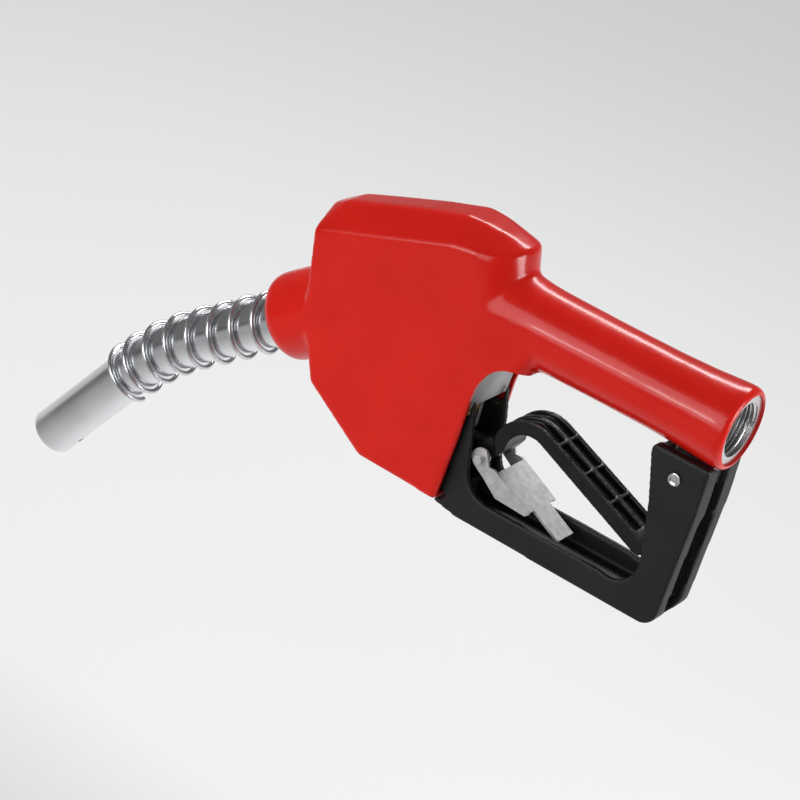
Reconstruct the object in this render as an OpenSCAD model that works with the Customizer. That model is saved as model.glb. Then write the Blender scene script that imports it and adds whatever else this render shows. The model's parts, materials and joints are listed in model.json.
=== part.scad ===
// Automatic fuel nozzle with a vinyl-covered valve body, a bent spout and a guarded hand lever.
// Frame: origin at the mouth of the hose thread, +X out of the inlet towards the hose, +Z up,
// the handle along X and the lever below it. The nozzle is mirror-symmetric about Y = 0.

/* [Inlet and handle] */
// Radius of the hose inlet thread (3/4 inch pipe)
inlet_r = 13.2; // [12.9:0.05:13.4]
// Length of the inlet thread
inlet_len = 20; // [16:1:26]
// Outer radius of the cast handle at its open end
handle_r = 16.8; // [16.4:0.1:17]
// Outer radius of the cast handle where it joins the body
handle_root_r = 15.3; // [14.8:0.1:15.6]
// Length of the straight handle
handle_len = 106; // [104:1:110]

/* [Valve body] */
// Half width of the casting
body_half_w = 17.5; // [17:0.1:18]
// Angle by which both valve axes lean forward from vertical
valve_tilt = 18.8; // [18:0.2:20]
// Distance between the main valve axis and the latch axis
axis_gap = 34.9; // [34.5:0.1:35.5]
// Bore radius of the main valve seat
seat_r = 8; // [6:0.5:9]
// Radius of the valve stem
stem_r = 3; // [2.5:0.1:3.5]

/* [Vinyl cover] */
// Half width of the cover across its flat sides
cover_half_w = 21.3; // [21:0.1:22]
// Wall thickness of the cover
cover_wall = 2.4; // [2:0.1:2.6]
// Radius of the cover at the inlet lip
lip_r = 20.1; // [19.8:0.1:20.4]
// Radius of the cover around the handle next to the body
grip_r = 18.6; // [18.2:0.1:19]
// Radius of the collar around the spout
collar_r = 21.3; // [21:0.1:22.2]

/* [Spout] */
// Outside radius of the spout tube (15/16 inch)
spout_r = 11.9; // [10.2:0.1:12]
// Wall thickness of the spout tube
spout_wall = 1.5; // [1.2:0.1:2]
// Downward angle of the spout where it leaves the body
spout_drop = 36.8; // [35:0.2:39]
// Angle of the bend in the spout
spout_bend = 18.3; // [10:0.5:22]
// Centre line radius of the bend
bend_r = 150; // [120:5:200]
// Straight length from the collar rim to the bend
spout_base_len = 51.5; // [48:0.5:60]
// Straight length after the bend
spout_tip_len = 66.4; // [60:0.2:70]
// Wire radius of the anti-slip spring
coil_wire_r = 1.25; // [1:0.05:1.3]
// Number of evenly spaced turns in the anti-slip spring
coil_turns = 7; // [6:1:8]
// Rise of each of those turns
coil_pitch = 13.65; // [12:0.05:14]
// Gap between the spring and the tube
coil_gap = 0.75; // [0.4:0.1:1]

/* [Lever guard] */
// Half width of the guard
guard_half_w = 15.7; // [15.2:0.1:16]
// Wall thickness of the guard
guard_wall = 3; // [2.4:0.1:3.2]
// Radius of the guard's rear rivet
guard_rivet_r = 2.2; // [2:0.1:2.4]

/* [Lever and clip] */
// Half width of the hand lever
lever_half_w = 9.8; // [9:0.1:10.2]
// Half width of the lever's front arm
arm_half_w = 8; // [7:0.1:8.4]
// Outer radius of the lever's hump
hump_r = 18.5; // [18:0.1:19]
// Inner radius of the lever's hump
hump_inner_r = 11.5; // [10:0.1:12]
// Sheet thickness of the hold-open clip
clip_sheet = 1.2; // [1:0.1:1.3]
// Half width of the hold-open clip
clip_half_w = 12.3; // [12:0.1:12.4]

/* [Hidden] */
$fn = 48;

run_gap = 0.04;                      // radial gap of a shaft in its bore
lever_pivot = [-160, -73];
valve_offset = 12.4;                 // the main valve's zero lies this far up the latch axis
spout_rim = [-231.6, -58.8];
spout_angle = -90 - spout_drop;
tube_in_r = spout_r - spout_wall;
tube_depth = 42;                     // how far the tube reaches in from the collar rim
guard_in_w = guard_half_w - guard_wall;
rear_rivet = [-15.5, -28.2];
front_pin = [-131, -60.5];
clip_pivot = [-108, -67];
clip_slope = 26.9;
hump_centre = [-88, -58.5];

// Points of an arc in the side plane
function arc(centre, radius, from, to, steps = 10) =
    [for (i = [0 : steps]) let (a = from + (to - from) * i / steps) centre + radius * [cos(a), sin(a)]];

// Extrudes an outline drawn in the side plane (x, z) evenly about Y = 0
module side_plate(half_width) {
    rotate([90, 0, 0])
        linear_extrude(height = 2 * half_width, center = true)
            children();
}

// Places children on an axis in the side plane, their Z leaning forward by the given angle
module on_axis(point, lean) {
    translate([point[0], 0, point[1]])
        rotate([0, lean, 0])
            children();
}

module on_latch_axis() {
    on_axis(lever_pivot, -valve_tilt) children();
}

module on_valve_axis() {
    on_latch_axis() translate([axis_gap, 0, valve_offset]) children();
}

// Z runs from the collar rim into the body; negative Z is towards the tip
module on_spout_axis() {
    on_axis(spout_rim, spout_angle) mirror([0, 0, 1]) children();
}

// Places children at a distance along the spout's centre line, measured from the collar rim
module along_spout(distance) {
    bent = max(0, min(spout_bend, (distance - spout_base_len) / bend_r * 180 / PI));
    straight = bent > 0 ? spout_base_len : distance;
    beyond = max(0, distance - spout_base_len - spout_bend * PI / 180 * bend_r);
    on_axis(spout_rim, spout_angle)
        translate([-bend_r, 0, straight])
            rotate([0, -bent, 0])
                translate([bend_r, 0, beyond])
                    children();
}

module tube(outer, inner, length) {
    difference() {
        cylinder(r = outer, h = length);
        translate([0, 0, -1]) cylinder(r = inner, h = length + 2);
    }
}

module ring(mean, section) {
    rotate_extrude()
        translate([mean, 0])
            circle(r = section, $fn = 24);
}

// A coil spring along Z as stacked half turns, each tilted so that its ends meet the next
module coil(mean, wire, length, turns) {
    half_rise = (length - 2 * wire) / turns / 2;
    tilt = atan(half_rise / 2 / mean);
    for (i = [0 : 2 * turns - 1])
        translate([0, 0, wire + (i + 0.5) * half_rise])
            rotate([0, i % 2 == 0 ? tilt : -tilt, 0])
                rotate([0, 0, 180 * (i % 2) - 2])
                    rotate_extrude(angle = 184)
                        translate([mean, 0])
                            circle(r = wire, $fn = 32);
}

module bolt_circle(count, radius, start = 45) {
    for (i = [0 : count - 1])
        rotate([0, 0, start + i * 360 / count])
            translate([radius, 0, 0])
                children();
}

// ---- casting ----

body_outline = [
    [-112, -16.5], [-118, -24], [-119.6, -46], [-123, -49.5], [-175, -49.5], [-198, -44],
    [-205, -30], [-205, -8], [-190, -3], [-150, 13], [-124, 13], [-121, -6]
];

module body_outside() {
    side_plate(body_half_w) polygon(body_outline);
    translate([-handle_len, 0, 0])
        rotate([0, 90, 0])
            cylinder(r1 = handle_root_r, r2 = handle_r, h = handle_len);
    translate([-handle_len - 17, 0, 0]) rotate([0, 90, 0]) cylinder(r1 = 17.2, r2 = handle_root_r, h = 17.5);
    on_valve_axis() translate([0, 0, 20]) cylinder(r = 15.5, h = 52);
    on_latch_axis() translate([0, 0, 40]) cylinder(r = 16, h = 40);
    on_spout_axis() translate([0, 0, 5]) cylinder(r = 17.5, h = 55);
    translate([-24, -5, -30]) cube([20, 10, 16]);
    for (side = [-1, 1])
        translate([-136, side * 10.7 - 1.7, -66]) cube([10, 3.4, 18]);
}

module body_passages() {
    translate([-inlet_len, 0, 0]) rotate([0, 90, 0]) cylinder(r = inlet_r, h = inlet_len + 1);
    translate([-inlet_len - 1.8, 0, 0]) rotate([0, 90, 0]) cylinder(r = 12.9, h = 2);
    translate([-142, 0, 0]) rotate([0, 90, 0]) cylinder(r = 10.5, h = 142);
    on_valve_axis() {
        translate([0, 0, 34]) cylinder(r = 12.5, h = 60);
        translate([0, 0, 14]) cylinder(r = seat_r, h = 30);
        translate([0, 0, -10]) cylinder(r = 6.5, h = 18);
        cylinder(r = stem_r + 0.5, h = 20);
    }
    on_latch_axis() {
        translate([0, 0, 30]) cylinder(r = 12.5, h = 38);
        translate([0, 0, 18]) cylinder(r = 10, h = 20);
        translate([0, 0, 60]) cylinder(r = 2.4, h = 20);
        translate([0, 0, 74]) cylinder(r = 11.5, h = 10);
    }
    on_axis([-146, -28], -90) cylinder(r = 8, h = 25);
    on_spout_axis() {
        translate([0, 0, -1]) cylinder(r = 15.7, h = 9);
        translate([0, 0, 7]) cylinder(r = 14.5, h = 8);
        cylinder(r = spout_r + run_gap, h = 51);
        translate([0, 0, 50]) cylinder(r = 8.5, h = 24);
        translate([0, 0, 25]) cylinder(r = 13.5, h = 1.7);
    }
}

module valve_body() {
    color([0.66, 0.67, 0.68])
        difference() {
            body_outside();
            body_passages();
            on_latch_axis() translate([0, 0, 80]) bolt_circle(4, 13.6) cylinder(r = 1.2, h = 12, center = true);
            screw_hole_in_body();
            translate([rear_rivet[0], 0, rear_rivet[1]])
                rotate([90, 0, 0])
                    cylinder(r = guard_rivet_r + 0.1, h = 40, center = true);
            translate([front_pin[0], 0, front_pin[1]])
                rotate([90, 0, 0])
                    cylinder(r = 2.1, h = 60, center = true);
        }
}

module screw_hole_in_body() {
    on_spout_axis()
        translate([0, 0, 20])
            rotate([0, -90, 0])
                cylinder(r = 2, h = 30);
}

// ---- vinyl cover ----

cover_flat = [
    [-217.5, 0.5], [-149, 24.2], [-136, 22.5], [-127, -2], [-116, -24], [-120.7, -93.3],
    [-164.8, -92], [-199, -70.5], [-211, -41]
];
// Roof ridge as x, half width and height
cover_ridge = [[-219.5, 4, 8.5], [-211, 8.5, 14.8], [-190, 9.5, 22.4], [-170, 9.5, 29.6], [-150, 9.5, 36],
               [-118.3, 8.5, 35.5], [-116.2, 3, 35.5]];
hump_x = -135.3;                     // the rounded rear of the cover turns about this line

// Open rear of the cover under the handle
cover_arch = [[-119, -95], [-118.2, -60], [-117.6, -38], [-115.6, -28.5], [-112.4, -21], [-108.5, -17.5],
              [-104, -16.2], [-102, -19.5], [-90, -95]];

module cover_house(inset) {
    hull() {
        side_plate(cover_half_w - inset)
            offset(delta = -inset)
                polygon(cover_flat);
        translate([hump_x, 0, -6]) cylinder(r = cover_half_w - inset, h = 28 - inset, $fn = 64);
        for (p = cover_ridge, side = [-1, 1])
            translate([p[0], side * p[1], p[2] - 2])
                sphere(r = max(0.3, 2 - inset), $fn = 24);
    }
}

module cover_neck(inset) {
    hull() {
        translate([-126, 0, -6]) rotate([0, 90, 0]) cylinder(r = cover_half_w - 0.8 - inset, h = 1, $fn = 32);
        translate([-126, 0, 0]) rotate([0, 90, 0]) cylinder(r = cover_half_w - 0.8 - inset, h = 1, $fn = 32);
        translate([-107, 0, 0]) rotate([0, 90, 0]) cylinder(r = grip_r - inset, h = 1, $fn = 32);
    }
}

module scuff_cover() {
    color([0.76, 0.13, 0.1])
        difference() {
            union() {
                cover_house(0);
                cover_neck(0);
                translate([-handle_len, 0, 0])
                    rotate([0, 90, 0])
                        cylinder(r1 = grip_r, r2 = lip_r, h = handle_len + 1.5);
                on_spout_axis() translate([0, 0, 2]) cylinder(r = collar_r, h = 48);
            }
            cover_house(cover_wall);
            cover_neck(cover_wall);
            translate([-handle_len - 8, 0, 0])
                rotate([0, 90, 0])
                    cylinder(r1 = handle_root_r + 0.2, r2 = handle_r + 0.3, h = handle_len + 10);
            body_outside();
            on_spout_axis() translate([0, 0, -1]) cylinder(r = 16.8, h = 8);
            side_plate(cover_half_w - cover_wall)
                polygon([[-138, -90.8], [-105, -91.4], [-105, -18], [-112, -16], [-138, -30]]);
            side_plate(30) polygon(cover_arch);
        }
}

module inlet_strainer() {
    color([0.75, 0.76, 0.78])
        translate([-33.3, 0, 0])
            rotate([0, 90, 0])
                difference() {
                    union() {
                        translate([0, 0, 6]) cylinder(r = 10.2, h = 5.5);
                        translate([0, 0, 11.5]) cylinder(r = 12.8, h = 1.5);
                        cylinder(r1 = 7, r2 = 10.2, h = 6);
                    }
                    translate([0, 0, 1.2]) cylinder(r1 = 6.2, r2 = 9.4, h = 6);
                    translate([0, 0, 7]) cylinder(r = 9.4, h = 7);
                    for (r = [2.6, 5], i = [0 : 5])
                        rotate([0, 0, i * 60 + r * 12]) translate([r, 0, -1]) cylinder(r = 0.8, h = 4);
                }
}

// ---- lever guard ----

guard_outline = concat(
    [[-27.5, -17.3], [-1, -17.3], [-0.8, -40]],
    arc([-11, -91.5], 8, 2, -85, 6),
    [[-110, -98.7], [-123.7, -96.1], [-123, -94.2], [-118.4, -94.2], [-118.2, -90], [-138, -88],
     [-138, -50.2], [-118.8, -50.2], [-118.4, -42], [-117.4, -42], [-113.8, -57], [-111.8, -70]],
    arc([-97, -71.7], 14.2, 190, 265, 6),
    [[-60, -85.6], [-36, -86.2]],
    arc([-31.5, -74.2], 12.8, -80, 5, 8),
    [[-24, -44]],
    arc([-27.5, -20.3], 3, 200, 100, 4)
);

guard_cavity = concat(
    [[-40, -23], [-4, -23], [-4, -40]],
    arc([-11.2, -91], 5, 0, -80, 5),
    [[-110, -96], [-116, -94.6], [-116, -87.2], [-150, -84.6], [-150, -35], [-60, -35]]
);

module lever_guard() {
    color([0.13, 0.13, 0.13])
        difference() {
            side_plate(guard_half_w) polygon(guard_outline);
            difference() {
                side_plate(guard_in_w) polygon(guard_cavity);
                side_plate(guard_in_w + 1) polygon([[-27.5, -33], [-27.5, -20], [1, -20], [1, -33]]);
            }
            translate([-24.5, -5.3, -50]) cube([30, 10.6, 40]);
            translate([-40, 0, 0]) rotate([0, 90, 0]) cylinder(r = lip_r + 0.3, h = 50);
            translate([-8, -7.2, -89]) cube([20, 14.4, 40]);
            translate([-8, 0, -49]) rotate([0, 90, 0]) cylinder(r = 7.2, h = 20);
            translate([-8, 0, -89]) rotate([0, 90, 0]) cylinder(r = 7.2, h = 20);
            translate([rear_rivet[0], 0, rear_rivet[1]])
                rotate([90, 0, 0])
                    cylinder(r = guard_rivet_r + 0.1, h = 40, center = true);
            translate([front_pin[0], 0, front_pin[1]])
                rotate([90, 0, 0])
                    cylinder(r = 2.1, h = 60, center = true);
            translate([clip_pivot[0], 0, clip_pivot[1]])
                rotate([90, 0, 0])
                    cylinder(r = 2.1, h = 60, center = true);
        }
}

module guard_rear_rivet() {
    color([0.8, 0.8, 0.82])
        translate([rear_rivet[0], 0, rear_rivet[1]])
            rotate([90, 0, 0]) {
                cylinder(r = guard_rivet_r, h = 2 * guard_half_w, center = true);
                for (side = [-1, 1])
                    translate([0, 0, side * (guard_half_w + 0.4)])
                        cylinder(r = 3.1, h = 0.8, center = true);
            }
}

module guard_front_pins() {
    color([0.7, 0.7, 0.72])
        for (side = [-1, 1])
            translate([front_pin[0], side * 12.4, front_pin[1]])
                rotate([90, 0, 0])
                    cylinder(r = 2, h = 6.6, center = true);
}

// ---- main valve ----

module main_poppet() {
    color([0.72, 0.6, 0.3])
        on_valve_axis() {
            translate([0, 0, 35.5]) cylinder(r = 10.5, h = 5);
            translate([0, 0, 40.5]) cylinder(r1 = 10.5, r2 = 4, h = 3);
            translate([0, 0, 43.5]) cylinder(r = 4, h = 5);
            translate([0, 0, -12.5]) cylinder(r = stem_r, h = 48.5);
            translate([0, 0, -12.5]) sphere(r = stem_r);
        }
}

module poppet_seal() {
    color([0.1, 0.1, 0.1])
        on_valve_axis()
            translate([0, 0, 34])
                tube(10.2, stem_r, 1.5);
}

module poppet_spring() {
    color([0.7, 0.7, 0.7])
        on_valve_axis()
            translate([0, 0, 44.2])
                coil(7, 0.9, 26.5, 5);
}

module poppet_cap() {
    color([0.7, 0.71, 0.72])
        on_valve_axis()
            difference() {
                union() {
                    translate([0, 0, 64]) cylinder(r = 12.5, h = 8);
                    translate([0, 0, 72]) cylinder(r = 14.4, h = 4);
                    translate([0, 0, 76]) cylinder(r = 7, h = 2.4, $fn = 6);
                }
                translate([0, 0, 63]) cylinder(r = 9.5, h = 7.8);
                translate([0, 0, 67]) ring(12.1, 0.8);
            }
}

module poppet_cap_ring() {
    color([0.08, 0.08, 0.08])
        on_valve_axis()
            translate([0, 0, 67])
                intersection() {
                    ring(12.1, 0.8);
                    cylinder(r = 12.5, h = 4, center = true);
                }
}

module stem_packing() {
    color([0.85, 0.85, 0.8])
        on_valve_axis()
            translate([0, 0, 2.5])
                tube(6.5, stem_r + run_gap, 5.5);
}

module packing_gland() {
    color([0.72, 0.58, 0.3])
        on_valve_axis()
            difference() {
                union() {
                    translate([0, 0, -3]) cylinder(r = 6.5, h = 5.5);
                    translate([0, 0, -5.5]) cylinder(r = 8, h = 3.4, $fn = 6);
                }
                translate([0, 0, -7]) cylinder(r = stem_r + run_gap, h = 12);
            }
}

// ---- spout ----

// The drawn bend is a little thicker than the straight ends, which run a little way into it
bend_thicker = 0.06;
bend_overlap = 0.5;

// Solid rod along the spout's centre line: a straight root, the bend and a straight tip
module bent_rod(radius, from_centre, inside, tip_len) {
    on_spout_axis()
        translate([-from_centre, 0, -spout_base_len - bend_overlap])
            cylinder(r = radius, h = spout_base_len + bend_overlap + inside);
    on_axis(spout_rim, spout_angle)
        translate([-bend_r, 0, spout_base_len])
            rotate([90, 0, 0])
                rotate_extrude(angle = spout_bend, $fn = 180)
                    translate([bend_r - from_centre, 0])
                        circle(r = radius + bend_thicker);
    spout_end()
        translate([-from_centre, 0, -spout_tip_len - bend_overlap])
            cylinder(r = radius, h = tip_len + bend_overlap);
}

module spout_end() {
    along_spout(spout_base_len + spout_bend * PI / 180 * bend_r + spout_tip_len) children();
}

// The tip's plain length ends at a shallow rolled groove, just in front of the spring
module spout_tube() {
    edge = 0.7;
    free_tip = 58.2;
    groove_w = 0.8;
    color([0.82, 0.83, 0.85])
        difference() {
            union() {
                bent_rod(spout_r, 0, tube_depth, spout_tip_len - edge);
                spout_end() translate([0, 0, -edge]) cylinder(r1 = spout_r, r2 = spout_r - edge, h = edge);
            }
            bent_rod(tube_in_r, 0, tube_depth + 1, spout_tip_len + 1);
            spout_end() translate([0, 0, -13]) rotate([0, -90, 0]) cylinder(r = 1.6, h = 20);
            spout_end() translate([0, 0, -free_tip - groove_w]) tube(spout_r + 1, spout_r - 0.3, groove_w);
        }
}

module vent_tube() {
    from_centre = 7.2;
    color([0.75, 0.76, 0.78])
        difference() {
            union() {
                bent_rod(2, from_centre, 27, spout_tip_len - 14);
                spout_end() translate([-from_centre, 0, -15]) cylinder(r = 3, h = 5);
            }
            bent_rod(1.3, from_centre, 28, spout_tip_len - 12.2);
            spout_end() translate([-from_centre, 0, -13]) rotate([0, -90, 0]) cylinder(r = 1, h = 10);
        }
}

// Helix around the bent tube, made of tilted half turns; its last turn is closer wound
module spout_spring() {
    first = -0.45;
    end_pitch = 9;
    mean = spout_r + coil_wire_r + coil_gap;
    even = 2 * coil_turns;
    color([0.72, 0.73, 0.75])
        for (i = [0 : even + 1]) {
            rise = (i < even ? coil_pitch : end_pitch) / 2;
            start = first + min(i, even) * coil_pitch / 2 + max(0, i - even) * end_pitch / 2;
            tilt = atan(rise / 2 / mean);
            along_spout(start + rise / 2)
                rotate([0, i % 2 == 0 ? -tilt : tilt, 0])
                    rotate([0, 0, 180 * (i % 2) - 3])
                        rotate_extrude(angle = 186, $fn = 64)
                            translate([mean, 0])
                                circle(r = coil_wire_r, $fn = 32);
        }
}

module spout_nut() {
    color([0.7, 0.71, 0.72])
        on_spout_axis()
            translate([0, 0, 8])
                tube(14.4, spout_r + run_gap, 7);
}

module spout_ring() {
    color([0.08, 0.08, 0.08])
        on_spout_axis()
            translate([0, 0, 25.85])
                ring(spout_r + 0.82, 0.75);
}

module spout_screw() {
    color([0.5, 0.5, 0.52])
        on_spout_axis()
            translate([-spout_r - 0.1, 0, 20])
                rotate([0, -90, 0])
                    difference() {
                        cylinder(r = 2, h = 5);
                        translate([0, 0, 3.4]) cylinder(r = 1.1, h = 3, $fn = 6);
                    }
}

// ---- check valve at the spout's root ----

module check_seat() {
    color([0.7, 0.71, 0.72])
        on_spout_axis()
            translate([0, 0, 46])
                tube(spout_r, 6.5, 4.5);
}

module check_poppet() {
    color([0.8, 0.75, 0.55])
        on_spout_axis() {
            translate([0, 0, 43]) cylinder(r = 8.2, h = 3);
            translate([0, 0, 28]) cylinder(r = 1.5, h = 15);
        }
}

module check_spring() {
    color([0.7, 0.7, 0.7])
        on_spout_axis()
            translate([0, 0, 33.1])
                coil(4.6, 0.4, 9.8, 3);
}

module check_retainer() {
    color([0.7, 0.71, 0.72])
        on_spout_axis()
            difference() {
                translate([0, 0, 30]) cylinder(r = tube_in_r, h = 3);
                translate([0, 0, 29]) cylinder(r = 1.5 + run_gap, h = 5);
                for (a = [0, 90, 180, 270])
                    rotate([0, 0, a]) translate([7.2, 0, 29]) cylinder(r = 2, h = 5);
            }
}

// ---- automatic shut-off ----

module diaphragm_cap() {
    color([0.68, 0.69, 0.7])
        on_latch_axis()
            difference() {
                union() {
                    translate([0, 0, 80.8]) cylinder(r = 16, h = 3);
                    translate([0, 0, 83.8]) cylinder(r1 = 11.5, r2 = 9, h = 7);
                }
                translate([0, 0, 80]) cylinder(r = 9.6, h = 4);
                translate([0, 0, 80]) cylinder(r = 7.2, h = 9.2);
                bolt_circle(4, 13.6) cylinder(r = 1.4, h = 300, center = true);
            }
}

module diaphragm_screws() {
    color([0.75, 0.75, 0.77])
        on_latch_axis()
            bolt_circle(4, 13.6) {
                translate([0, 0, 75]) cylinder(r = 1.2, h = 8.8);
                translate([0, 0, 83.8])
                    difference() {
                        cylinder(r = 2.2, h = 1.6);
                        translate([0, 0, 1.2]) cube([3, 0.6, 1.8], center = true);
                    }
            }
}

module diaphragm() {
    color([0.1, 0.1, 0.1])
        on_latch_axis()
            translate([0, 0, 80])
                difference() {
                    cylinder(r = 16, h = 0.8);
                    translate([0, 0, -1]) cylinder(r = 1.8, h = 3);
                    bolt_circle(4, 13.6) cylinder(r = 1.4, h = 6, center = true);
                }
}

module diaphragm_spring() {
    color([0.7, 0.7, 0.7])
        on_latch_axis()
            translate([0, 0, 82.4])
                coil(4.2, 0.4, 6.8, 2);
}

module latch_pin() {
    color([0.75, 0.75, 0.78])
        on_latch_axis() {
            translate([0, 0, 50]) cylinder(r = 1.8, h = 30.8);
            translate([0, 0, 80.8]) cylinder(r = 6.5, h = 1.5);
            translate([0, 0, 78.4]) cylinder(r = 6.5, h = 1.6);
        }
}

module latch_balls() {
    color([0.8, 0.8, 0.82])
        on_latch_axis()
            translate([0, 0, 57])
                bolt_circle(3, 3.4) sphere(r = 1.5);
}

module latch_sleeve() {
    color([0.72, 0.6, 0.3])
        on_latch_axis()
            difference() {
                translate([0, 0, 22]) cylinder(r = 10, h = 46);
                translate([0, 0, 21]) cylinder(r = 8.2, h = 29);
                translate([0, 0, 49]) cylinder(r = 5 + run_gap, h = 20);
                translate([0, 0, 55.4]) cylinder(r = 5.8, h = 3.2);
            }
}

module latch_retainer() {
    color([0.7, 0.71, 0.72])
        on_latch_axis()
            translate([0, 0, 18.2])
                tube(10, 5 + run_gap, 3.8);
}

module latch_plunger() {
    color([0.75, 0.75, 0.78])
        on_latch_axis()
            difference() {
                union() {
                    translate([0, 0, 8]) cylinder(r = 5, h = 54);
                    translate([0, 0, 44.5]) cylinder(r = 8, h = 3);
                    side_plate(3.8) {
                        circle(r = 5);
                        translate([-5, 0]) square([10, 9]);
                    }
                }
                rotate([90, 0, 0]) cylinder(r = 2.5 + run_gap, h = 20, center = true);
                translate([0, 0, 48]) cylinder(r = 1.8 + run_gap, h = 20);
                translate([0, 0, 57])
                    for (a = [45, 165, 285])
                        rotate([0, 0, a]) translate([1, 0, 0]) rotate([0, 90, 0]) cylinder(r = 1.6, h = 8);
            }
}

module latch_spring() {
    color([0.7, 0.7, 0.7])
        on_latch_axis()
            translate([0, 0, 22.1])
                coil(6.6, 0.8, 22.2, 5);
}

// ---- hand lever ----

grip_slope = 22.6;
grip_normal = 90 - grip_slope;
lever_tail = [-24, -69.6];
pocket_len = 15.6;
pocket_starts = [for (i = [0 : 3]) -9.9 + 17.2 * i];

lever_outline = concat(
    arc(hump_centre, hump_r, grip_normal, 165, 16),
    [[-106.2, -56.5], [-102.4, -64.6]],
    arc(hump_centre, hump_inner_r, 185, grip_normal - 1.4, 14),
    arc(lever_tail, 4, -grip_normal - 50, grip_normal, 6)
);

arm_outline = concat(
    [[-101, -53], [-116, -62.5], [-120, -65]],
    [[-134, -69.5], [-154, -66.5]],
    arc(lever_pivot, 7, 60, 280, 12),
    [[-118, -74.5], [-109, -71.5], [-101, -62]]
);

module lever_pockets() {
    // Straight grip: pockets either side of the middle rib, parted by cross ribs
    translate([hump_centre[0], 0, hump_centre[1]])
        rotate([0, grip_slope, 0])
            for (side = [-1, 1], start = pocket_starts)
                translate([start, side * 4.7 - 3.2, hump_r - 4.4])
                    cube([pocket_len, 6.4, 10]);
    // Hump: two slightly narrower grooves carry on round the arc
    for (side = [-1, 1])
        translate([hump_centre[0], side * 4.7, hump_centre[1]])
            rotate([90, 0, 0])
                rotate([0, 0, grip_normal + 8])
                    rotate_extrude(angle = 74)
                        translate([hump_r - 3, -3])
                            square([6, 6]);
}

module lever() {
    color([0.1, 0.1, 0.1])
        difference() {
            union() {
                side_plate(lever_half_w) polygon(lever_outline);
                side_plate(arm_half_w) polygon(arm_outline);
            }
            lever_pockets();
            translate([lever_pivot[0], 0, lever_pivot[1]]) {
                rotate([90, 0, 0]) cylinder(r = 2.5 + run_gap, h = 30, center = true);
                rotate([0, -valve_tilt, 0]) translate([-12, -4.2, -12]) cube([18.5, 8.4, 30]);
            }
        }
}

module lever_pin() {
    color([0.75, 0.75, 0.78])
        translate([lever_pivot[0], 0, lever_pivot[1]])
            rotate([90, 0, 0])
                cylinder(r = 2.5, h = 2 * arm_half_w + 1.6, center = true);
}

// ---- hold-open clip ----

clip_flange = concat(
    arc(clip_pivot, 5, 70, 235, 8),
    [[-104, -75.5], [-95.6, -81.7], [-79, -82.4], [-77.2, -80.6], [-98.4, -69.8], [-99.6, -69.2], [-103, -69.2]]
);

module clip_web() {
    translate([-98.4, 0, -69.8])
        rotate([0, clip_slope, 0]) {
            translate([0, -clip_half_w, -clip_sheet]) cube([23.2, 2 * clip_half_w, clip_sheet]);
            translate([22.4, -6.8, -clip_sheet]) cube([18.4, 13.6, clip_sheet]);
        }
}

module hold_clip() {
    color([0.74, 0.74, 0.75])
        difference() {
            union() {
                clip_web();
                difference() {
                    side_plate(clip_half_w) polygon(clip_flange);
                    side_plate(clip_half_w - clip_sheet) polygon([[-120, -60], [-60, -60], [-60, -95], [-120, -95]]);
                }
            }
            translate([clip_pivot[0], 0, clip_pivot[1]])
                rotate([90, 0, 0])
                    cylinder(r = 2 + run_gap, h = 40, center = true);
        }
}

module clip_rivets() {
    color([0.8, 0.8, 0.82])
        for (side = [-1, 1])
            translate([clip_pivot[0], side * 13, clip_pivot[1]])
                rotate([90, 0, 0]) {
                    cylinder(r = 2, h = 2 * (guard_half_w - 13), center = true);
                    translate([0, 0, side * 2]) cylinder(r = 2, h = 2.2, center = true);
                }
}

module clip_spring() {
    color([0.6, 0.6, 0.62])
        for (side = [-1, 1])
            translate([clip_pivot[0], side * 9.6, clip_pivot[1]])
                rotate([90, 0, 0])
                    ring(3, 0.6);
}

valve_body();
scuff_cover();
inlet_strainer();
lever_guard();
guard_rear_rivet();
guard_front_pins();
main_poppet();
poppet_seal();
poppet_spring();
poppet_cap();
poppet_cap_ring();
stem_packing();
packing_gland();
spout_tube();
spout_spring();
spout_nut();
spout_ring();
spout_screw();
vent_tube();
check_seat();
check_poppet();
check_spring();
check_retainer();
diaphragm_cap();
diaphragm_screws();
diaphragm();
diaphragm_spring();
latch_pin();
latch_balls();
latch_sleeve();
latch_retainer();
latch_plunger();
latch_spring();
lever();
lever_pin();
hold_clip();
clip_rivets();
clip_spring();
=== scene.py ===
"""An automatic fuel nozzle: a cast valve body in a red vinyl cover, with its spout, guard, lever and clip."""

import math

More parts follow.
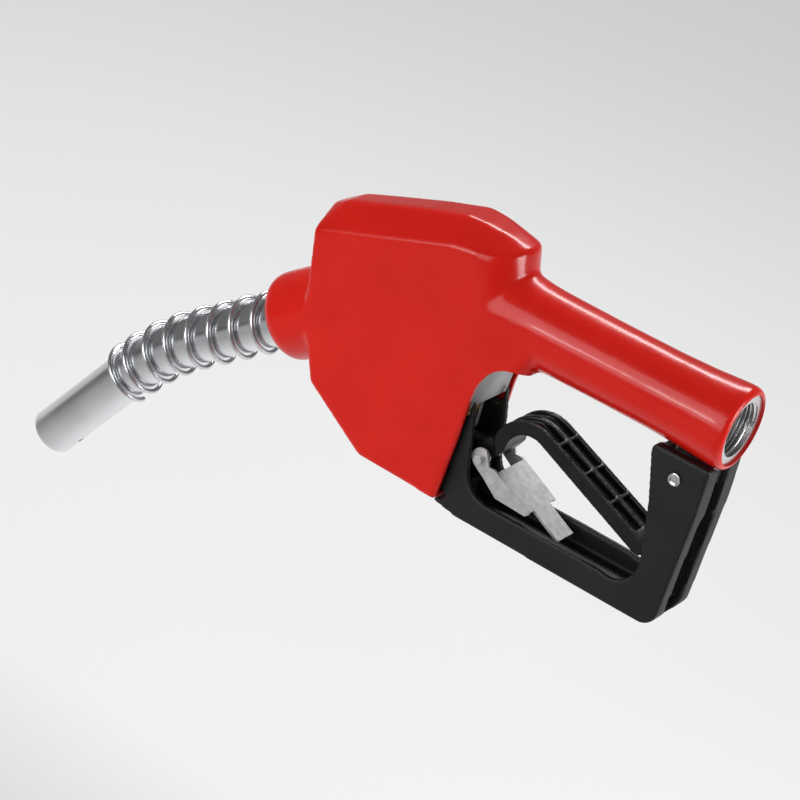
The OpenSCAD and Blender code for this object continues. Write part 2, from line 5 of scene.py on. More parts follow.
import bmesh
import bpy
from mathutils import Matrix, Vector
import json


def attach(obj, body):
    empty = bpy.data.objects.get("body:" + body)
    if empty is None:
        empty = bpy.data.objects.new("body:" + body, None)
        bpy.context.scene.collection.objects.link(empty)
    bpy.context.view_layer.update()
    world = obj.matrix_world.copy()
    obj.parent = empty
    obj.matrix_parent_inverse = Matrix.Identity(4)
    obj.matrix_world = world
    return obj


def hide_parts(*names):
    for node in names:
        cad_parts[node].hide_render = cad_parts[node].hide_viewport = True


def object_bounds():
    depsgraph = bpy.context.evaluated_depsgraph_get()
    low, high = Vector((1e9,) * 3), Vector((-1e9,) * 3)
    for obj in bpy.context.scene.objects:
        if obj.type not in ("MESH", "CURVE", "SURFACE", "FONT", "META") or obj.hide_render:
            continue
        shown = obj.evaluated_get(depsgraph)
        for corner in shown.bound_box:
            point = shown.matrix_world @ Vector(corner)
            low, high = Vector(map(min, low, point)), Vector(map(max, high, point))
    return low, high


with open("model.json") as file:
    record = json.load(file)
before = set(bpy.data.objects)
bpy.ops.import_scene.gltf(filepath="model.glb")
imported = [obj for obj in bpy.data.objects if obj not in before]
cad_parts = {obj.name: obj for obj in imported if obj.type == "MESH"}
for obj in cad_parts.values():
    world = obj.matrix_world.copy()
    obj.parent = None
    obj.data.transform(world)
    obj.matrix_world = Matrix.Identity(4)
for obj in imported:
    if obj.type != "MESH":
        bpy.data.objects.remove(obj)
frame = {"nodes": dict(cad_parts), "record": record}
cad_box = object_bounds()

# ---- Studio ----
# A plain pale floor that glows behind the nozzle, a key light above and behind it and a wide fill in front.
# A small card and a strip light the cover's edges. The camera is rolled: the handle runs down to the right.

MM = 0.001
EYE = Vector((0.403807, -1.111586, 0.539737))
EYE_RIGHT = Vector((0.80038566, 0.54438504, 0.25105323))
EYE_UP = Vector((-0.43947952, 0.24800346, 0.86333773))
LENS = 135.4
FLOOR_DROP = 0.16
FLOOR_HALF = 6
FLOOR_GLOW = 0.5
GLOW_FROM, GLOW_FULL = -0.35, 0.05
WORLD_STRENGTH = 0.2
MIDDLE = (-0.17, 0, -0.03)

camera = bpy.data.objects.new("camera", bpy.data.cameras.new("camera"))
bpy.context.scene.collection.objects.link(camera)
eye_axes = Matrix((EYE_RIGHT, EYE_UP, EYE_RIGHT.cross(EYE_UP))).transposed()
camera.matrix_world = Matrix.Translation(EYE) @ eye_axes.to_4x4()
camera.data.lens = LENS
camera.data.sensor_width = 36
camera.data.clip_end = 20
bpy.context.scene.camera = camera
bpy.context.scene.view_settings.view_transform = "Standard"


class Value:
    """One value in a material: the operators add Math nodes to that material."""

    def __init__(self, finish, socket):
        self.finish, self.socket = finish, socket

    def math(self, operation, *others):
        settings = {"operation": operation}
        return self.finish.node("ShaderNodeMath", settings, dict(enumerate((self,) + others)))

    def __add__(self, other):
        return self.math("ADD", other)

    def __mul__(self, other):
        return self.math("MULTIPLY", other)

    def __rsub__(self, other):
        return self.finish.node("ShaderNodeMath", {"operation": "SUBTRACT"}, {0: other, 1: self})

    def ramp(self, low, high, start=0.0, end=1.0):
        values = {"Value": self, "From Min": low, "From Max": high, "To Min": start, "To Max": end}
        return self.finish.node("ShaderNodeMapRange", {"clamp": True}, values)


class Finish:
    """A material made node by node; what is the same all over is set on the shader itself."""

    def __init__(self, name, **sockets):
        self.material = bpy.data.materials.new(name)
        self.material.use_nodes = True
        self.nodes = self.material.node_tree.nodes
        self.links = self.material.node_tree.links
        self.shader = self.nodes["Principled BSDF"]
        for socket, value in sockets.items():
            self.shader.inputs[socket.replace("_", " ")].default_value = value

    def node(self, kind, settings=None, values=None, output=0):
        made = self.nodes.new(kind)
        for key, setting in (settings or {}).items():
            setattr(made, key, setting)
        for key, value in (values or {}).items():
            if isinstance(value, Value):
                self.links.new(value.socket, made.inputs[key])
            else:
                made.inputs[key].default_value = value
        return Value(self, made.outputs[output])

    def feed(self, socket, value):
        self.links.new(value.socket, self.shader.inputs[socket])

    def place(self):
        return self.node("ShaderNodeTexCoord", output="Object")

    def axis(self, name):
        return self.node("ShaderNodeSeparateXYZ", values={0: self.place()}, output=name)

    def noise(self, scale, detail=3.0, stretch=(1, 1, 1)):
        mapped = self.node("ShaderNodeMapping", values={"Vector": self.place(), "Scale": stretch})
        return self.node("ShaderNodeTexNoise", values={"Vector": mapped, "Scale": scale, "Detail": detail})

    def blend_colours(self, factor, one, other):
        made = self.nodes.new("ShaderNodeMix")
        made.data_type = "RGBA"
        self.links.new(factor.socket, made.inputs[0])
        for index, colour in ((6, one), (7, other)):
            if isinstance(colour, Value):
                self.links.new(colour.socket, made.inputs[index])
            else:
                made.inputs[index].default_value = (*colour, 1)
        return Value(self, made.outputs[2])

    def bump(self, height, distance, strength=1.0):
        values = {"Height": height, "Distance": distance, "Strength": strength}
        self.feed("Normal", self.node("ShaderNodeBump", values=values))


def new_object(name, mesh):
    made = bpy.data.objects.new(name, mesh)
    bpy.context.scene.collection.objects.link(made)
    return made


sweep_finish = Finish("pale_sweep", Roughness=0.95, Emission_Strength=FLOOR_GLOW)
cloud = sweep_finish.noise(3.0, 2.0)
pale = (0.4, 0.4, 0.4), (0.41, 0.41, 0.41)
sweep_finish.feed("Base Color", sweep_finish.blend_colours(cloud.ramp(0.3, 0.7), *pale))
glow = sweep_finish.axis("Y").ramp(GLOW_FROM, GLOW_FULL)
sweep_finish.feed("Emission Color", sweep_finish.blend_colours(glow, (0, 0, 0), (1, 1, 1)))
sweep_mesh = bpy.data.meshes.new("sweep")
floor_z = cad_box[0][2] - FLOOR_DROP
floor_corners = [(x * FLOOR_HALF, y * FLOOR_HALF, floor_z) for x, y in ((-1, -1), (1, -1), (1, 1), (-1, 1))]
sweep_mesh.from_pydata(floor_corners, [], [(0, 1, 2, 3)])
sweep = new_object("sweep", sweep_mesh)
sweep_mesh.materials.append(sweep_finish.material)

world = bpy.data.worlds.new("studio")
world.use_nodes = True
background = world.node_tree.nodes["Background"]
background.inputs["Color"].default_value = (0.8, 0.8, 0.8, 1)
background.inputs["Strength"].default_value = WORLD_STRENGTH
bpy.context.scene.world = world


def softbox(name, position, target, size, power):
    """A rectangular light at position, turned to face target."""
    light = bpy.data.lights.new(name, "AREA")
    light.shape = "RECTANGLE"
    light.size, light.size_y = size
    light.energy = power
    towards = (Vector(target) - Vector(position)).to_track_quat("-Z", "Y")
    new_object(name, light).matrix_world = Matrix.Translation(position) @ towards.to_matrix().to_4x4()


softbox("key", (-0.4, 0.7, 0.8), MIDDLE, (0.9, 0.2), 9)
softbox("rear_window", (0.42, 0.12, 0.06), (-0.12, 0, 0.02), (0.22, 0.22), 1.6)
softbox("edge_strip", (-0.55, -0.9, 0.2), (-0.17, 0, 0.02), (0.3, 0.08), 1.2)
softbox("front_fill", (-0.4, -1.4, 0.45), MIDDLE, (1.6, 1.0), 14)

# ---- Casting ----
# Gravity-cast aluminium with a fine sandy skin, faced and threaded only at the hose inlet.
# The turned ring there is bright; the rest shows as it came from the mould.

cad_nodes = frame["nodes"]


def finish_node(name, finish):
    for material_slot in cad_nodes[name].material_slots:
        material_slot.material = finish.material


TURNED_FROM = -0.0235
TURNED_FADE = 0.001

casting = Finish("cast_aluminium", Metallic=1.0)
turned = casting.axis("X").ramp(TURNED_FROM, TURNED_FROM + TURNED_FADE)
sand = casting.noise(900, 5.0)
patches = casting.noise(60, 2.0)
rough_skin = casting.blend_colours(patches.ramp(0.3, 0.7), (0.36, 0.37, 0.37), (0.5, 0.5, 0.51))
casting.feed("Base Color", casting.blend_colours(turned, rough_skin, (0.78, 0.78, 0.79)))
casting.feed("Roughness", sand.ramp(0.3, 0.7, 0.5, 0.68) * (1 - turned) + turned * 0.24)
casting.bump(sand * (1 - turned), 0.0005, 0.5)
finish_node("valve_body", casting)

# ---- Inlet thread ----
# The hose thread is a tapped pipe thread of 14 turns to the inch, cut in the casting.
# Its ridge is one wire wound on a helix and sunk half into the bore.

THREAD_PITCH = 25.4 * MM / 14
THREAD_R = 13.1 * MM
THREAD_RIDGE_R = 0.85 * MM
THREAD_END = -1.4 * MM
THREAD_TURNS = 9
THREAD_STEPS = 48


def start_tree(name, sockets, result):
    """A new node group with the given inputs and one output; also gives each input's identifier."""
    tree = bpy.data.node_groups.new(name, "GeometryNodeTree")
    inputs = {}
    for label, kind in sockets:
        inputs[label] = tree.interface.new_socket(label, in_out="INPUT", socket_type=kind).identifier
    tree.interface.new_socket(result, in_out="OUTPUT", socket_type="NodeSocketGeometry")
    return tree, inputs


def join(tree, *links):
    for source, output, target, socket in links:
        tree.links.new(source.outputs[output], target.inputs[socket])


def wire_tree():
    """Nodes that lay a round wire along the edges of a mesh."""
    sockets = (
        ("Path", "NodeSocketGeometry"),
        ("Wire radius", "NodeSocketFloat"),
        ("Sides", "NodeSocketInt"),
        ("Finish", "NodeSocketMaterial"),
    )
    tree, inputs = start_tree("round_wire", sockets, "Wire")
    start, end = tree.nodes.new("NodeGroupInput"), tree.nodes.new("NodeGroupOutput")
    curve = tree.nodes.new("GeometryNodeMeshToCurve")
    circle = tree.nodes.new("GeometryNodeCurvePrimitiveCircle")
    skin = tree.nodes.new("GeometryNodeCurveToMesh")
    skin.inputs["Fill Caps"].default_value = True
    smooth = tree.nodes.new("GeometryNodeSetShadeSmooth")
    real = tree.nodes.new("GeometryNodeRealizeInstances")
    coat = tree.nodes.new("GeometryNodeSetMaterial")
    join(
        tree,
        (start, "Path", curve, "Mesh"),
        (start, "Wire radius", circle, "Radius"),
        (start, "Sides", circle, "Resolution"),
        (curve, "Curve", skin, "Curve"),
        (circle, "Curve", skin, "Profile Curve"),
        (skin, "Mesh", smooth, "Geometry"),
        (smooth, "Geometry", real, "Geometry"),
        (real, "Geometry", coat, "Geometry"),
        (start, "Finish", coat, "Material"),
        (coat, "Geometry", end, "Wire"),
    )
    return tree, inputs


WIRE_TREE, WIRE_INPUTS = wire_tree()


def settle(made):
    """Works out an object's modifiers into a plain mesh and takes the modifiers off."""
    evaluated = made.evaluated_get(bpy.context.evaluated_depsgraph_get())
    mesh = bpy.data.meshes.new_from_object(evaluated)
    made.modifiers.clear()
    made.data = mesh
    return made


def wind_wire(name, points, radius, sides, finish):
    """A round wire through points, made with the wire nodes and worked out into a mesh."""
    path = bpy.data.meshes.new(name)
    path.from_pydata(points, [(i, i + 1) for i in range(len(points) - 1)], [])
    made = new_object(name, path)
    modifier = made.modifiers.new("wire", "NODES")
    modifier.node_group = WIRE_TREE
    modifier[WIRE_INPUTS["Wire radius"]] = radius
    modifier[WIRE_INPUTS["Sides"]] = sides
    modifier[WIRE_INPUTS["Finish"]] = finish.material
    return settle(made)


def thread_point(step):
    turns = step / THREAD_STEPS
    angle = 2 * math.pi * turns
    return (THREAD_END - THREAD_PITCH * turns, THREAD_R * math.cos(angle), THREAD_R * math.sin(angle))


thread_path = [thread_point(step) for step in range(THREAD_STEPS * THREAD_TURNS)]
thread = wind_wire("inlet_thread_ridge", thread_path, THREAD_RIDGE_R, 4, casting)
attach(thread, "body")

# ---- Cover ----
# A soft red vinyl cover, dip-moulded in one piece and stretched over body, handle and the spout's nut.
# It is made as solids run together and rounded over, then hollowed to its wall.

COVER_HALF = 21.3
COVER_WALL = 2.4
COVER_VOXEL = 1.0 * MM
COVER_ROUNDS = 24
SHARP_ANGLE = math.radians(40)
HOUSE_MIDDLE = Vector((-165, -30))
SIDE_EDGE = [
    (-217.5, 0.5), (-149, 24.2), (-136, 26.5), (-127, -2), (-116, -24),
    (-120.7, -93.3), (-164.8, -92), (-199, -70.5), (-211, -41),
]
ROOF_RIDGE = [
    (-220.5, 4, 8.8), (-211, 8.5, 15), (-190, 9.5, 22.6), (-170, 9.5, 29.8),
    (-150, 9.5, 36), (-140, 8.5, 36.1), (-128, 6, 34.6),
]
HUMP_X = -135.3
HUMP_SIDE_Z, HUMP_REAR_Z = 27, 31.5
HUMP_SHOULDER_Z, HUMP_FOOT_Z = 14, -6
HUMP_LEAN = 4
HUMP_NARROWING = 0.97
ARCH = [
    (-119, -96), (-118.4, -60), (-117.8, -40), (-116.8, -33), (-115.2, -28), (-112.9, -23.8),
    (-110, -20.9), (-106.5, -19), (-102.5, -18.3), (-97, -18.5), (-90, -22), (-86, -96),
]
MOUTH = [(-138, -90.8), (-105, -91.4), (-105, -18), (-112, -16), (-138, -30)]
MOUTH_HALF = COVER_HALF - COVER_WALL - 0.05
WEB = [
    (-127, 21, -2), (-127, 21.3, -34), (-112, 21.3, -34), (-104, 19, -23),
    (-96, 13, -18), (-98, 17, -8), (-118, 20, -2),
]
COLLAR_RIM = Vector((-231.6, 0, -58.8))
COLLAR_ANGLE = math.radians(36.8)
COLLAR_INWARD = Vector((math.cos(COLLAR_ANGLE), 0, math.sin(COLLAR_ANGLE)))


def hull_into(build, points):
    """Adds the convex hull of points, given in millimetres, to the mesh being built."""
    verts = [build.verts.new(Vector(point) * MM) for point in points]
    found = bmesh.ops.convex_hull(build, input=verts)
    inside = {v for v in found["geom_interior"] if isinstance(v, bmesh.types.BMVert)}
    bmesh.ops.delete(build, geom=list(inside), context="VERTS")


def lathe_into(build, profile, place, sides=96, limit=None):
    """Adds a turned solid: profile is distance along the axis and radius, in millimetres."""
    rings = []
    for along, radius in profile:
        ring = []
        for side in range(sides):
            turn = 2 * math.pi * side / sides
            point = place @ Vector((radius * math.cos(turn), radius * math.sin(turn), along))
            if limit:
                point.y = max(-limit, min(limit, point.y))
            ring.append(build.verts.new(point * MM))
        rings.append(ring)
    for ring, after in zip(rings, rings[1:]):
        for side in range(sides):
            build.faces.new((ring[side], ring[side - 1], after[side - 1], after[side]))
    build.faces.new(rings[0])
    build.faces.new(reversed(rings[-1]))


def prism_into(build, outline, half_width):
    """Adds a flat plate of the given side outline, both sides of the middle plane."""
    near = [build.verts.new(Vector((x, -half_width, z)) * MM) for x, z in outline]
    far = [build.verts.new(Vector((x, half_width, z)) * MM) for x, z in outline]
    build.faces.new(near)
    build.faces.new(reversed(far))
    for i in range(len(outline)):
        build.faces.new((near[i - 1], near[i], far[i], far[i - 1]))


def mesh_object(name, build):
    """Ends a mesh being built, with its faces turned outwards."""
    bmesh.ops.recalc_face_normals(build, faces=build.faces)
    mesh = bpy.data.meshes.new(name)
    build.to_mesh(mesh)
    build.free()
    return new_object(name, mesh)


def shade_smooth(made):
    made.data.polygons.foreach_set("use_smooth", [True] * len(made.data.polygons))


def round_over(made, voxel, rounds):
    """Runs an object's solids into one skin and rounds its edges."""
    skin = made.modifiers.new("one_skin", "REMESH")
    skin.mode = "VOXEL"
    skin.voxel_size = voxel
    ease = made.modifiers.new("ease", "SMOOTH")
    ease.factor = 0.5
    ease.iterations = rounds
    settle(made)


def carve(made, tool):
    """Cuts one object's shape out of another and deletes it."""
    cut = made.modifiers.new(tool.name, "BOOLEAN")
    cut.operation = "DIFFERENCE"
    cut.solver = "EXACT"
    cut.object = tool
    settle(made)
    bpy.data.objects.remove(tool)


def house_points(inset):
    """The corners of the cover's body: flat sides, a ridged roof and a round hump over the handle's root."""
    half = COVER_HALF - inset
    points = []
    for x, z in SIDE_EDGE:
        out = Vector((x, z)) - HOUSE_MIDDLE
        moved = HOUSE_MIDDLE + out * (1 - inset / out.length)
        points += [(moved.x, side * half, moved.y) for side in (-1, 1)]
    for x, width, z in ROOF_RIDGE:
        points += [(x + inset, side * (width - inset / 2), z - inset) for side in (-1, 1)]
    for step in range(-9, 10):
        turn = math.radians(10 * step)
        x, y = HUMP_X + half * math.cos(turn), half * math.sin(turn)
        rim = HUMP_REAR_Z - (HUMP_REAR_Z - HUMP_SIDE_Z) * (y / half) ** 2
        points.append((x - HUMP_LEAN * math.cos(turn), y * HUMP_NARROWING, rim - inset))
        points += [(x, y, HUMP_SHOULDER_Z), (x, y, HUMP_FOOT_Z)]
    return points


ALONG_X = Matrix(((0, 0, 1), (0, 1, 0), (-1, 0, 0))).to_4x4()


def axis_from(point, direction):
    """The place of a turned solid that starts at point and runs along direction."""
    return Matrix.Translation(point) @ direction.to_track_quat("Z", "Y").to_matrix().to_4x4()


ALONG_COLLAR = axis_from(COLLAR_RIM, COLLAR_INWARD)
HANDLE = [
    (-150, 20.5), (-125, 20.9), (-119, 20.3), (-113.5, 19.6), (-108, 18.9), (-100, 18.5), (-70, 18.1),
    (-40, 18.2), (-22, 18.8), (-10, 19.7), (-4, 20.1), (-1, 20), (0.6, 19.3), (1.4, 18.2), (1.5, 14),
]
COLLAR = [(2, 16), (2.1, 17.6), (2.8, 19), (4.2, 20.3), (6.2, 21), (9, 21.3), (50, 21.3)]

build = bmesh.new()
hull_into(build, house_points(0))
hull_into(build, [(x, side * y, z) for x, y, z in WEB for side in (-1, 1)])
lathe_into(build, HANDLE, ALONG_X, limit=COVER_HALF)
lathe_into(build, COLLAR, ALONG_COLLAR)
cover = mesh_object("cover_vinyl", build)
round_over(cover, COVER_VOXEL, COVER_ROUNDS)

build = bmesh.new()
hull_into(build, house_points(COVER_WALL))
carve(cover, mesh_object("hollow_house", build))
for name, profile, place in (
    ("hollow_handle", [(-125, 15.4), (-100, 15.6), (3, 17.05)], ALONG_X),
    ("hollow_collar", [(-2, 16.8), (8, 16.8), (8.02, 18), (40, 18)], ALONG_COLLAR),
):
    build = bmesh.new()
    lathe_into(build, profile, place)
    carve(cover, mesh_object(name, build))
for name, outline, half in (("hollow_mouth", MOUTH, MOUTH_HALF), ("hollow_rear", ARCH, 30)):
    build = bmesh.new()
    prism_into(build, outline, half)
    carve(cover, mesh_object(name, build))

vinyl = Finish("red_vinyl", Specular_IOR_Level=0.25, Coat_Roughness=0.06)
cloudy = vinyl.noise(35, 3.0)
scuffs = vinyl.noise(700, 6.0, (0.25, 1, 1)).ramp(0.62, 0.74)
# Painted shade: the red is blended up to half-way to a darker red towards the top of the cover, a painted
# shade on its roof.
height = vinyl.axis("Z").ramp(-0.03, 0.035)
unshaded_red = vinyl.blend_colours(cloudy.ramp(0.3, 0.7), (0.7, 0.011, 0.005), (0.78, 0.014, 0.007))
red = vinyl.blend_colours(height * 0.5, unshaded_red, (0.6, 0.009, 0.005))
vinyl.feed("Base Color", vinyl.blend_colours(scuffs * 0.1, red, (0.7, 0.04, 0.03)))
vinyl.feed("Roughness", cloudy.ramp(0.3, 0.7, 0.22, 0.28) + scuffs * 0.12)
vinyl.feed("Coat Weight", 0.2 - scuffs * 0.1)
vinyl.bump(vinyl.noise(180, 2.0) + vinyl.noise(2600, 2.0) * 0.08, 0.0004, 0.25)


def dress(made, finish):
    """Gives an object its one material, shaded smooth except at its sharp edges."""
    made.data.materials.clear()
    made.data.materials.append(finish.material)
    made.data.set_sharp_from_angle(angle=SHARP_ANGLE)
    shade_smooth(made)


dress(cover, vinyl)
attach(cover, "body")
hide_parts("scuff_cover")

# ---- Guard ----
# The lever guard is one moulding of glass-filled nylon, a deep channel with a fine spark-eroded grain.
# All its corners are eased by the mould.

GUARD_VOXEL = 0.9 * MM
GUARD_ROUNDS = 5


def eased_copy(name, node, voxel, rounds):
    """A copy of a CAD node with its corners rounded off a little."""
    build = bmesh.new()
    build.from_mesh(cad_nodes[node].data)
    bmesh.ops.remove_doubles(build, verts=build.verts, dist=1e-6)
    mesh = bpy.data.meshes.new(name)
    build.to_mesh(mesh)
    build.free()
    made = new_object(name, mesh)
    round_over(made, voxel, rounds)
    shade_smooth(made)
    return made


guard = eased_copy("guard_moulding", "lever_guard", GUARD_VOXEL, GUARD_ROUNDS)
nylon = Finish("black_nylon", Specular_IOR_Level=0.35)
grain = nylon.noise(2400, 4.0)
smudge = nylon.noise(45, 3.0)
nylon_black = nylon.blend_colours(smudge.ramp(0.3, 0.7), (0.005, 0.005, 0.0055), (0.009, 0.009, 0.0095))
nylon.feed("Base Color", nylon_black)
nylon.feed("Roughness", grain.ramp(0.3, 0.7, 0.4, 0.5) + smudge * 0.05)
nylon.bump(grain, 0.0004, 0.4)
dress(guard, nylon)
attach(guard, "body")
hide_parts("lever_guard")

# ---- Lever ----
# The hand lever is moulded in a smoother black nylon, with ribbed pockets along its back.
# It swings on its front pin, inside the guard.

LEVER_VOXEL = 0.6 * MM
LEVER_ROUNDS = 3

lever = eased_copy("lever_moulding", "lever", LEVER_VOXEL, LEVER_ROUNDS)
smooth_nylon = Finish("black_lever", Specular_IOR_Level=0.35)
worn = smooth_nylon.noise(160, 4.0)
lever_black = smooth_nylon.blend_colours(worn.ramp(0.3, 0.7), (0.003, 0.003, 0.0035), (0.006, 0.006, 0.0065))
smooth_nylon.feed("Base Color", lever_black)
smooth_nylon.feed("Roughness", worn.ramp(0.3, 0.7, 0.28, 0.4))
smooth_nylon.bump(smooth_nylon.noise(1500, 3.0), 0.0003, 0.2)
dress(lever, smooth_nylon)
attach(lever, "lever")
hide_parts("lever")

# ---- Spout ----
# A drawn aluminium tube, polished and bent once, with its mouth rolled smooth and a sensing hole underneath.
# It slides into the body under the nut.

SPOUT_R = 11.9
SPOUT_BORE = 10.4
BEND_START = 51.5
BEND_R = 150
BEND_ANGLE = math.radians(18.3)
TIP_STRAIGHT = 66.4
BEND_END = BEND_START + BEND_R * BEND_ANGLE
BEND_STEPS = 24
SPOUT_ROOT = -42
SPOUT_LENGTH = BEND_END + TIP_STRAIGHT
SPOUT_RIM_R = (SPOUT_R - SPOUT_BORE) / 2
RIM_STEPS = 12
SENSING_HOLE_R = 1.6
SENSING_HOLE_FROM_TIP = 13
ACROSS = Vector((0, 1, 0))
DOWN_SPOUT = -COLLAR_INWARD
TOP_OF_SPOUT = Vector((-math.sin(COLLAR_ANGLE), 0, math.cos(COLLAR_ANGLE)))


def along_spout(distance):
    """Where the spout's centre line is, its direction there, and the direction of its upper side."""
    turned_by = min(max((distance - BEND_START) / BEND_R, 0), BEND_ANGLE)
    direction = DOWN_SPOUT * math.cos(turned_by) - TOP_OF_SPOUT * math.sin(turned_by)
    top = TOP_OF_SPOUT * math.cos(turned_by) + DOWN_SPOUT * math.sin(turned_by)
    hub = COLLAR_RIM + DOWN_SPOUT * BEND_START - TOP_OF_SPOUT * BEND_R
    point = hub + top * BEND_R
    if distance < BEND_START:
        point = COLLAR_RIM + DOWN_SPOUT * distance
    elif turned_by == BEND_ANGLE:
        point = point + direction * (distance - BEND_END)
    return point, direction, top


def tube_along_spout(build, profile, sides=96):
    """A closed turned skin bent along the spout: profile is distance and radius, out and back."""
    rings = []
    for distance, radius in profile:
        centre, _, top = along_spout(distance)
        ring = []
        for side in range(sides):
            turn = 2 * math.pi * side / sides
            spoke = radius * (math.cos(turn) * top + math.sin(turn) * ACROSS)
            ring.append(build.verts.new((centre + spoke) * MM))
        rings.append(ring)
    for ring, after in zip(rings, rings[1:] + rings[:1]):
        for side in range(sides):
            build.faces.new((ring[side], ring[side - 1], after[side - 1], after[side]))


def spout_skin():
    """The spout's profile as distance and radius: out along its outside, round its mouth and back inside."""
    bend = [BEND_START + BEND_R * BEND_ANGLE * i / BEND_STEPS for i in range(BEND_STEPS + 1)]
    outside = [SPOUT_ROOT, -20, 0, 20, 40] + bend + [SPOUT_LENGTH - d for d in (50, 30, 12, 2)]
    inside = [SPOUT_LENGTH - 12, SPOUT_LENGTH - 40] + bend[::-1] + [30, 0, SPOUT_ROOT]
    rim = []
    for i in range(RIM_STEPS + 1):
        turn = math.pi * i / RIM_STEPS
        distance = SPOUT_LENGTH - SPOUT_RIM_R + SPOUT_RIM_R * math.sin(turn)
        rim.append((distance, SPOUT_BORE + SPOUT_RIM_R + SPOUT_RIM_R * math.cos(turn)))
    return [(d, SPOUT_R) for d in outside] + rim + [(d, SPOUT_BORE) for d in inside]


build = bmesh.new()
tube_along_spout(build, spout_skin())
spout = mesh_object("spout_tube_bent", build)
build = bmesh.new()
hole_centre, _, hole_top = along_spout(SPOUT_LENGTH - SENSING_HOLE_FROM_TIP)
lathe_into(build, [(4, SENSING_HOLE_R), (20, SENSING_HOLE_R)], axis_from(hole_centre, -hole_top), 32)
carve(spout, mesh_object("drill", build))

polished = Finish("polished_aluminium", Metallic=1.0)
drawn = polished.noise(1300, 3.0, (0.06, 1, 0.06))
haze = polished.noise(40, 3.0)
silver = polished.blend_colours(haze.ramp(0.3, 0.7), (0.72, 0.73, 0.75), (0.82, 0.83, 0.85))
polished.feed("Base Color", silver)
polished.feed("Roughness", haze.ramp(0.3, 0.7, 0.14, 0.22) + drawn * 0.05)
polished.bump(drawn, 0.00008, 0.3)
dress(spout, polished)
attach(spout, "body")
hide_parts("spout_tube")

# ---- Anti-slip spring ----
# Bright spring wire wound loosely round the spout, with its root under the collar.
# It is one wire on a helix that follows the tube round its bend.

COIL_START = -0.45
COIL_PITCH = 13.65
EVEN_TURNS = 7
END_PITCH = 9
WIRE_R = 1.25
COIL_GAP = 0.75
COIL_R = SPOUT_R + WIRE_R + COIL_GAP
COIL_STEPS = 56
WIRE_SIDES = 24


def coil_point(step):
    turns = step / COIL_STEPS
    distance = COIL_START + min(turns, EVEN_TURNS) * COIL_PITCH + max(0, turns - EVEN_TURNS) * END_PITCH
    centre, _, top = along_spout(distance)
    turn = math.pi + 2 * math.pi * turns
    return (centre + COIL_R * (math.cos(turn) * top - math.sin(turn) * ACROSS)) * MM


bright_steel = Finish("spring_steel", Metallic=1.0)
specks = bright_steel.noise(500, 4.0)
steel_grey = bright_steel.blend_colours(specks.ramp(0.35, 0.7), (0.6, 0.61, 0.63), (0.76, 0.77, 0.79))
bright_steel.feed("Base Color", steel_grey)
bright_steel.feed("Roughness", specks.ramp(0.3, 0.7, 0.16, 0.28))
coil_steps = range(-COIL_STEPS // 4, COIL_STEPS * (EVEN_TURNS + 1) + 1)
coil_path = [coil_point(step) for step in coil_steps]
spring = wind_wire("anti_slip_spring", coil_path, WIRE_R * MM, WIRE_SIDES, bright_steel)
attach(spring, "body")
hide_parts("spout_spring")

# ---- Guard rivet ----
# A semi-tubular steel rivet holds the guard to the lug under the inlet, its rolled edge round a dimple.
# The two heads are one turned head set at each end of its line.

RIVET_LINE = (-15.5, -28.2)
GUARD_HALF = 15.7
RIVET_HEAD = [
    (-3, 2.1), (0, 2.1), (0, 3.05), (0.35, 3.1), (0.7, 2.9), (0.8, 2.5),
    (0.66, 2.1), (0.3, 1.8), (0.22, 1.5), (0.42, 0.8), (0.46, 0.05),
]


def heads_tree():
    """Nodes that set one copy of a head on each point, turned by the point's own rotation."""
    sockets = (
        ("Points", "NodeSocketGeometry"),
        ("Head", "NodeSocketObject"),
        ("Finish", "NodeSocketMaterial"),
    )
    tree, inputs = start_tree("rivet_heads", sockets, "Rivets")
    start, end = tree.nodes.new("NodeGroupInput"), tree.nodes.new("NodeGroupOutput")
    head = tree.nodes.new("GeometryNodeObjectInfo")
    turn = tree.nodes.new("GeometryNodeInputNamedAttribute")
    turn.data_type = "FLOAT_VECTOR"
    turn.inputs["Name"].default_value = "turn"
    setting = tree.nodes.new("GeometryNodeInstanceOnPoints")
    real = tree.nodes.new("GeometryNodeRealizeInstances")
    coat = tree.nodes.new("GeometryNodeSetMaterial")
    join(
        tree,
        (start, "Points", setting, "Points"),
        (start, "Head", head, "Object"),
        (head, "Geometry", setting, "Instance"),
        (turn, "Attribute", setting, "Rotation"),
        (setting, "Instances", real, "Geometry"),
        (real, "Geometry", coat, "Geometry"),
        (start, "Finish", coat, "Material"),
        (coat, "Geometry", end, "Rivets"),
    )
    return tree, inputs


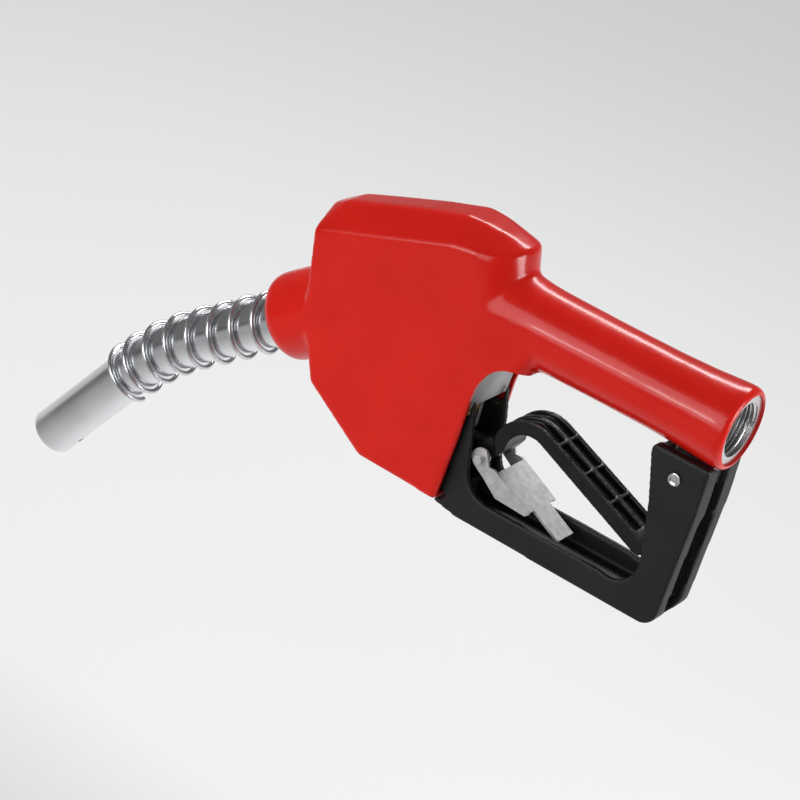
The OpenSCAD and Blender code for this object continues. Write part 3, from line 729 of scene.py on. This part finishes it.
build = bmesh.new()
lathe_into(build, RIVET_HEAD, Matrix(), 48)
head = mesh_object("rivet_head", build)
shade_smooth(head)
line = bpy.data.meshes.new("rivet_line")
rivet_x, rivet_z = RIVET_LINE
line.from_pydata([Vector((rivet_x, side * GUARD_HALF, rivet_z)) * MM for side in (-1, 1)], [], [])
turns = line.attributes.new("turn", "FLOAT_VECTOR", "POINT")
for index, side in enumerate((-1, 1)):
    turns.data[index].vector = (-side * math.pi / 2, 0, 0)
rivets = new_object("guard_rivet_heads", line)
RIVET_TREE, RIVET_INPUTS = heads_tree()
modifier = rivets.modifiers.new("heads", "NODES")
modifier.node_group = RIVET_TREE
modifier[RIVET_INPUTS["Head"]] = head
modifier[RIVET_INPUTS["Finish"]] = bright_steel.material
settle(rivets)
bpy.data.objects.remove(head)
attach(rivets, "body")
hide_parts("guard_rear_rivet")

# ---- Other pieces ----
# The small hardware and the works inside the body keep their own shapes, in metal, rubber or packing.
# Plated steel is dull and slightly mottled, turned brass is warm, and the seals are matt.


def plain_finish(name, dark, light, rough, metallic, scale, bump=0.0002):
    """A finish mottled between two shades, with a fine bump."""
    finish = Finish(name, Metallic=metallic)
    mottle = finish.noise(scale, 4.0)
    finish.feed("Base Color", finish.blend_colours(mottle.ramp(0.3, 0.7), dark, light))
    finish.feed("Roughness", mottle.ramp(0.3, 0.7, rough, rough + 0.12))
    finish.bump(mottle, bump, 0.3)
    return finish


SMALL_FINISHES = {
    "steel": bright_steel,
    "polished_aluminium": polished,
    "cast_aluminium": casting,
    "black_nylon": nylon,
    "black_lever": smooth_nylon,
    "red_vinyl": vinyl,
    "zinc_steel": plain_finish("zinc_plate", (0.5, 0.5, 0.49), (0.66, 0.66, 0.65), 0.36, 0.55, 300),
    "brass": plain_finish("turned_brass", (0.6, 0.42, 0.16), (0.72, 0.53, 0.24), 0.24, 1.0, 350),
    "black_rubber": plain_finish("nitrile_rubber", (0.014,) * 3, (0.024,) * 3, 0.55, 0.0, 900),
    "white_packing": plain_finish("valve_packing", (0.7, 0.69, 0.64), (0.8, 0.79, 0.75), 0.5, 0.0, 700),
}
for row in frame["record"]["subparts"]:
    if not cad_nodes[row["node"]].hide_render:
        finish_node(row["node"], SMALL_FINISHES[row["material_slot"]])

# ---- Scene update ----

import json

bpy.context.view_layer.update()
